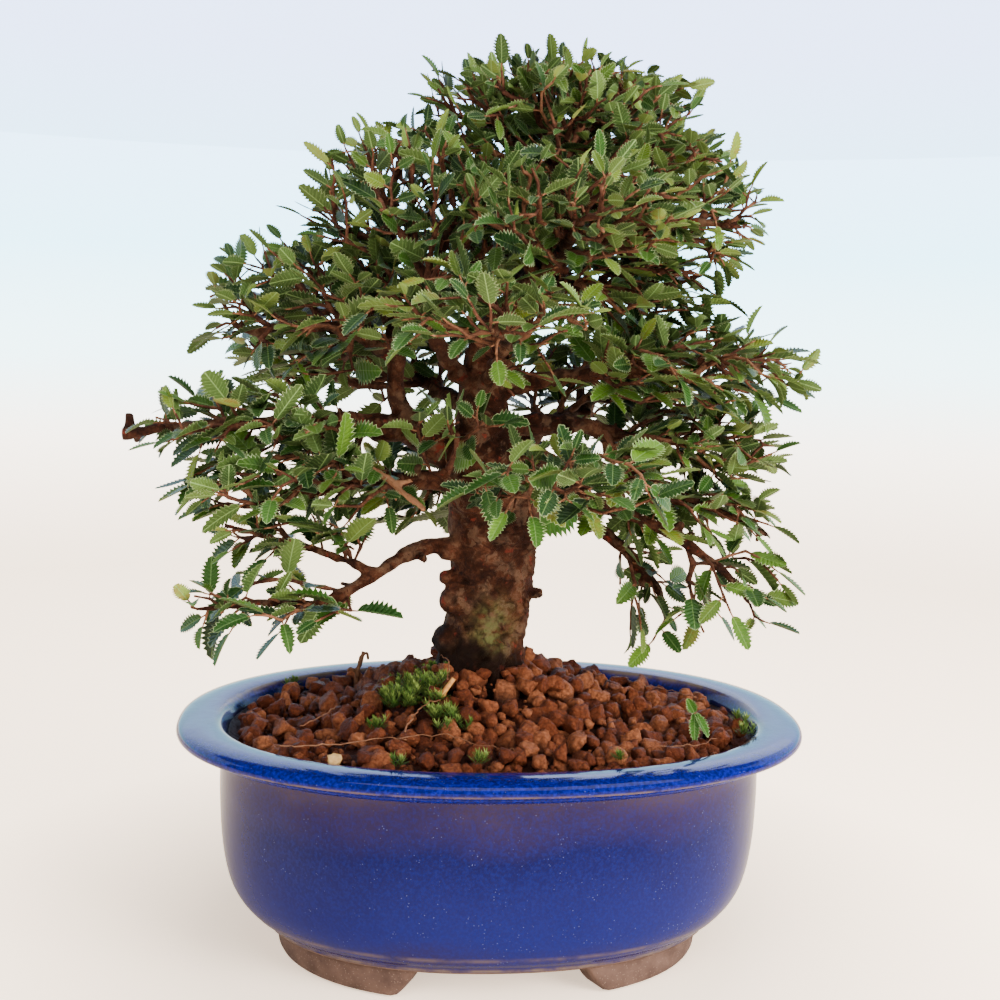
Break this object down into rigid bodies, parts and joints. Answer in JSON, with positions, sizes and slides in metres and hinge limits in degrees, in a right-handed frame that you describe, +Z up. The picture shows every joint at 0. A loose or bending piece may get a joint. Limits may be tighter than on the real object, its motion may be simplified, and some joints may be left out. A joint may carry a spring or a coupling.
{
  "type": "zelkova bonsai in an oval pot",
  "caption": "Small broom-crowned zelkova bonsai with a stout trunk and toothed leaves, growing in granular soil in an oval glazed pot on two clay feet.",
  "frame": {"origin": "on the ground under the middle of the whole part, pot and crown together", "axes": "+Z up from the pot's feet, +X to the right along the pot's long side, the front of the tree faces -Y"},
  "size_m": [0.1798, 0.1384, 0.2343],
  "materials": {
    "glaze": "gloss",
    "screen": "matte",
    "soil": "matte",
    "bark": "matte",
    "dead_wood": "matte",
    "leaf": "satin",
    "moss": "matte"
  },
  "bodies": {
    "root": {"dead_twig": "dead_wood", "drain_screen_left": "screen", "drain_screen_right": "screen", "moss": "moss", "pot": "glaze", "seedling": "leaf", "soil": "soil", "spray_back_high_1": "leaf", "spray_back_high_2": "leaf", "spray_back_high_tip_1": "leaf", "spray_back_left_1": "leaf", "spray_back_left_2": "leaf", "spray_back_left_tip_1": "leaf", "spray_back_low_1": "leaf", "spray_back_low_tip_1": "leaf", "spray_back_right_1": "leaf", "spray_back_right_2": "leaf", "spray_back_right_tip_1": "leaf", "spray_bottom_fork_tip_1": "leaf", "spray_bottom_left_1": "leaf", "spray_bottom_left_tip_1": "leaf", "spray_crown_left_1": "leaf", "spray_crown_left_2": "leaf", "spray_crown_left_tip_1": "leaf", "spray_crown_left_tip_2": "leaf", "spray_crown_right_1": "leaf", "spray_crown_right_tip_1": "leaf", "spray_crown_right_tip_2": "leaf", "spray_front_high_1": "leaf", "spray_front_high_tip_1": "leaf", "spray_front_low_1": "leaf", "spray_front_low_tip_1": "leaf", "spray_front_mid_1": "leaf", "spray_front_mid_2": "leaf", "spray_front_mid_tip_1": "leaf", "spray_hanging_tip_1": "leaf", "spray_left_far_1": "leaf", "spray_left_far_2": "leaf", "spray_left_lower_1": "leaf", "spray_left_lower_tip_1": "leaf", "spray_left_mid_1": "leaf", "spray_left_mid_2": "leaf", "spray_left_mid_tip_1": "leaf", "spray_low_right_1": "leaf", "spray_low_right_tip_1": "leaf", "spray_right_far_1": "leaf", "spray_right_far_2": "leaf", "spray_right_far_tip_1": "leaf", "spray_right_low_1": "leaf", "spray_right_low_tip_1": "leaf", "spray_right_mid_1": "leaf", "spray_right_mid_tip_1": "leaf", "spray_right_upper_1": "leaf", "spray_right_upper_tip_1": "leaf", "spray_top_1": "leaf", "spray_top_2": "leaf", "spray_top_3": "leaf", "spray_top_tip_1": "leaf", "spray_top_tip_2": "leaf", "trunk": "bark"}
  },
  "joints": []
}
